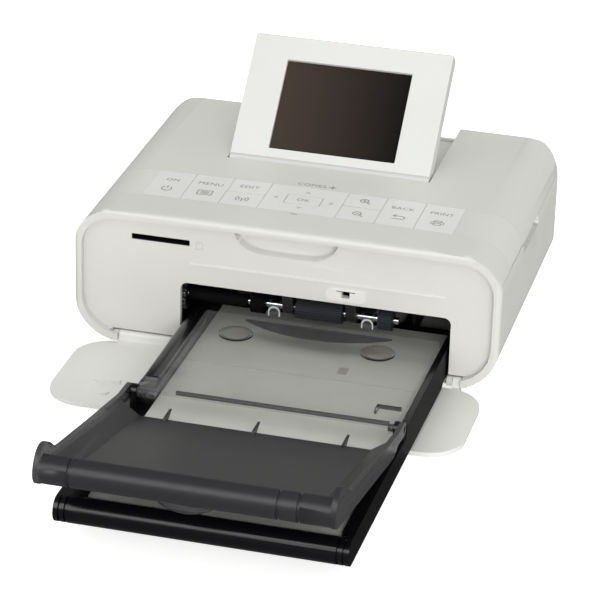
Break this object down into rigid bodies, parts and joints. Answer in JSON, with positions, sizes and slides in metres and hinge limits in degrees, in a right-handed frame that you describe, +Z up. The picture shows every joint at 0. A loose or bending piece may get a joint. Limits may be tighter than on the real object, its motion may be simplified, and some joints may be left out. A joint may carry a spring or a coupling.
{
  "type": "compact photo printer",
  "caption": "Compact white photo printer with rounded corners, a raised tilting screen, flush keys, an open front door and a smoke-lidded paper cassette slid in at the front.",
  "frame": {"origin": "centre of the overall footprint with the paper cassette inserted and its outer lid raised, at table level", "axes": "+X to the right side seen from the front, +Y from the paper cassette to the back of the housing, +Z up"},
  "size_m": [0.182, 0.322, 0.1048],
  "materials": {
    "housing": "fine satin moulded finish",
    "face": "fine satin moulded finish",
    "rim": "smooth moulded finish",
    "keys": "smooth satin",
    "screen_shell": "smooth satin",
    "display": "polished dark window",
    "module_grey": "plain moulded",
    "circuit_board": "solder mask",
    "sheet_steel": "zinc plated sheet",
    "motor_steel": "drawn can",
    "steel_shaft": "ground steel",
    "pickup_steel": "ground steel",
    "black_plastic": "fine texture",
    "clear_clip": "clear moulded",
    "ribbon": "dye coated film",
    "cassette_black": "polished black",
    "paper": "uncoated back of photo paper",
    "smoke_inner": "clear smoke",
    "smoke_outer": "dark smoke",
    "heatsink": "extruded",
    "ceramic": "glazed ceramic",
    "rubber": "ground rubber",
    "gear_white": "natural acetal",
    "gear_brass": "turned"
  },
  "bodies": {
    "printer": {"top_cover": "housing", "base_shell": "housing", "front_panel": "face", "front_rim": "rim", "rear_panel": "face", "key_strip": "keys", "key_board": "circuit_board", "chassis": "sheet_steel", "paper_guides": "black_plastic", "paper_tunnel": "black_plastic", "pickup_bracket": "black_plastic", "paper_clips": "clear_clip", "feed_motor": "motor_steel", "pickup_motor": "motor_steel", "main_board": "circuit_board", "card_socket": "black_plastic", "usb_port": "sheet_steel", "power_jack": "black_plastic", "ink_case": "black_plastic", "ink_ribbon": "ribbon", "hinge_pins": "steel_shaft", "feet": "module_grey", "case_screws": "steel_shaft"},
    "screen": {"screen_case": "screen_shell", "screen_bezel": "screen_shell", "screen_glass": "display", "lcd_module": "module_grey"},
    "front_door": {"front_door": "rim"},
    "ink_door": {"ink_door": "rim"},
    "key_power": {"key_power": "keys"},
    "key_menu": {"key_menu": "keys"},
    "key_edit": {"key_edit": "keys"},
    "key_wireless": {"key_wireless": "keys"},
    "key_zoom_in": {"key_zoom_in": "keys"},
    "key_zoom_out": {"key_zoom_out": "keys"},
    "key_back": {"key_back": "keys"},
    "key_print": {"key_print": "keys"},
    "key_ok": {"key_ok": "keys"},
    "nav_gimbal": {"nav_gimbal": "module_grey"},
    "nav_plate": {"nav_plate": "keys"},
    "cassette": {"cassette_tray": "cassette_black", "paper_stack": "paper", "lift_plate": "sheet_steel"},
    "inner_lid": {"inner_lid": "smoke_inner"},
    "outer_lid": {"outer_lid": "smoke_outer"},
    "head": {"thermal_head": "ceramic", "head_heatsink": "heatsink"},
    "platen": {"platen_roller": "rubber"},
    "feed": {"feed_roller": "steel_shaft"},
    "pinch": {"pinch_roller": "steel_shaft"},
    "idler": {"idler_gear": "gear_white"},
    "pinion": {"motor_pinion": "gear_brass"},
    "take_up": {"take_up_spool": "gear_white"},
    "supply": {"supply_spool": "gear_white"},
    "pickup": {"pickup_shaft": "pickup_steel", "pickup_rollers": "rubber"},
    "pickup_pinion": {"pickup_pinion": "gear_white"}
  },
  "joints": [
    {"name": "front_door_hinge", "type": "hinge", "parent": "printer", "child": "front_door", "pos_m": [0, 0.0292, 0.0045], "axis": [-1, 0, 0], "range_deg": [0, 1.5]},
    {"name": "ink_door_hinge", "type": "hinge", "parent": "printer", "child": "ink_door", "pos_m": [0.081, 0.093, 0.0115], "axis": [0, 1, 0], "range_deg": [0, 80]},
    {"name": "cassette_slide", "type": "slide", "parent": "printer", "child": "cassette", "axis": [0, -0.9998, 0.0209], "range_m": [0, 0.15]},
    {"name": "inner_lid_hinge", "type": "hinge", "parent": "cassette", "child": "inner_lid", "pos_m": [0.01225, -0.04897, 0.02055], "axis": [1, 0, 0], "range_deg": [0, 70]},
    {"name": "outer_lid_hinge", "type": "hinge", "parent": "cassette", "child": "outer_lid", "pos_m": [0.01225, -0.04897, 0.02055], "axis": [-1, 0, 0], "range_deg": [0, 87]},
    {"name": "screen_tilt", "type": "hinge", "parent": "printer", "child": "screen", "pos_m": [0, 0.0971, 0.0612], "axis": [1, 0, 0], "range_deg": [-45, 0]},
    {"name": "key_power_press", "type": "slide", "parent": "printer", "child": "key_power", "axis": [0, 0, -1], "range_m": [0, 0.0005], "stiffness_N_per_m": 800, "springref_m": -0.0005},
    {"name": "key_menu_press", "type": "slide", "parent": "printer", "child": "key_menu", "axis": [0, 0, -1], "range_m": [0, 0.0005], "stiffness_N_per_m": 800, "springref_m": -0.0005},
    {"name": "key_edit_press", "type": "slide", "parent": "printer", "child": "key_edit", "axis": [0, 0, -1], "range_m": [0, 0.0005], "stiffness_N_per_m": 800, "springref_m": -0.0005},
    {"name": "key_wireless_press", "type": "slide", "parent": "printer", "child": "key_wireless", "axis": [0, 0, -1], "range_m": [0, 0.0005], "stiffness_N_per_m": 800, "springref_m": -0.0005},
    {"name": "key_zoom_in_press", "type": "slide", "parent": "printer", "child": "key_zoom_in", "axis": [0, 0, -1], "range_m": [0, 0.0005], "stiffness_N_per_m": 800, "springref_m": -0.0005},
    {"name": "key_zoom_out_press", "type": "slide", "parent": "printer", "child": "key_zoom_out", "axis": [0, 0, -1], "range_m": [0, 0.0005], "stiffness_N_per_m": 800, "springref_m": -0.0005},
    {"name": "key_back_press", "type": "slide", "parent": "printer", "child": "key_back", "axis": [0, 0, -1], "range_m": [0, 0.0005], "stiffness_N_per_m": 800, "springref_m": -0.0005},
    {"name": "key_print_press", "type": "slide", "parent": "printer", "child": "key_print", "axis": [0, 0, -1], "range_m": [0, 0.0005], "stiffness_N_per_m": 800, "springref_m": -0.0005},
    {"name": "key_ok_press", "type": "slide", "parent": "printer", "child": "key_ok", "axis": [0, 0, -1], "range_m": [0, 0.0005], "stiffness_N_per_m": 800, "springref_m": -0.0005},
    {"name": "nav_front_back", "type": "hinge", "parent": "printer", "child": "nav_gimbal", "pos_m": [-0.0013, 0.05915, 0.0584], "axis": [1, 0, 0], "range_deg": [-1.2, 1.2], "stiffness_Nm_per_rad": 0.25},
    {"name": "nav_left_right", "type": "hinge", "parent": "nav_gimbal", "child": "nav_plate", "pos_m": [-0.0013, 0.05915, 0.0584], "axis": [0, 1, 0], "range_deg": [-1.2, 1.2], "stiffness_Nm_per_rad": 0.25},
    {"name": "head_lift", "type": "hinge", "parent": "printer", "child": "head", "pos_m": [0.01225, 0.117, 0.045], "axis": [-1, 0, 0], "range_deg": [0, 10]},
    {"name": "feed_spin", "type": "hinge", "parent": "printer", "child": "feed", "pos_m": [0.01225, 0.119, 0.0222], "axis": [1, 0, 0], "continuous": true},
    {"name": "platen_spin", "type": "hinge", "parent": "printer", "child": "platen", "pos_m": [0.01225, 0.101, 0.02], "axis": [1, 0, 0], "continuous": true},
    {"name": "idler_spin", "type": "hinge", "parent": "printer", "child": "idler", "pos_m": [-0.046, 0.1084, 0.03419], "axis": [1, 0, 0], "continuous": true},
    {"name": "pinion_spin", "type": "hinge", "parent": "printer", "child": "pinion", "pos_m": [-0.046, 0.09588, 0.03685], "axis": [1, 0, 0], "continuous": true},
    {"name": "take_up_spin", "type": "hinge", "parent": "printer", "child": "take_up", "pos_m": [0.01225, 0.07914, 0.03831], "axis": [1, 0, 0], "continuous": true},
    {"name": "pinch_spin", "type": "hinge", "parent": "printer", "child": "pinch", "pos_m": [0.01225, 0.119, 0.0274], "axis": [1, 0, 0], "continuous": true},
    {"name": "supply_spin", "type": "hinge", "parent": "printer", "child": "supply", "pos_m": [0.01225, 0.138, 0.038], "axis": [1, 0, 0], "continuous": true},
    {"name": "pickup_spin", "type": "hinge", "parent": "printer", "child": "pickup", "pos_m": [0.01225, 0.039, 0.0234], "axis": [1, 0, 0], "continuous": true},
    {"name": "pickup_pinion_spin", "type": "hinge", "parent": "printer", "child": "pickup_pinion", "pos_m": [-0.046, 0.04056, 0.03449], "axis": [1, 0, 0], "continuous": true}
  ],
  "couplings": [
    {"joint": "idler_spin", "follows": "feed_spin", "ratio": -1},
    {"joint": "platen_spin", "follows": "feed_spin", "ratio": 1},
    {"joint": "pinion_spin", "follows": "feed_spin", "ratio": 1.6667},
    {"joint": "take_up_spin", "follows": "feed_spin", "ratio": -0.66667},
    {"joint": "pickup_pinion_spin", "follows": "pickup_spin", "ratio": -1.3333}
  ]
}
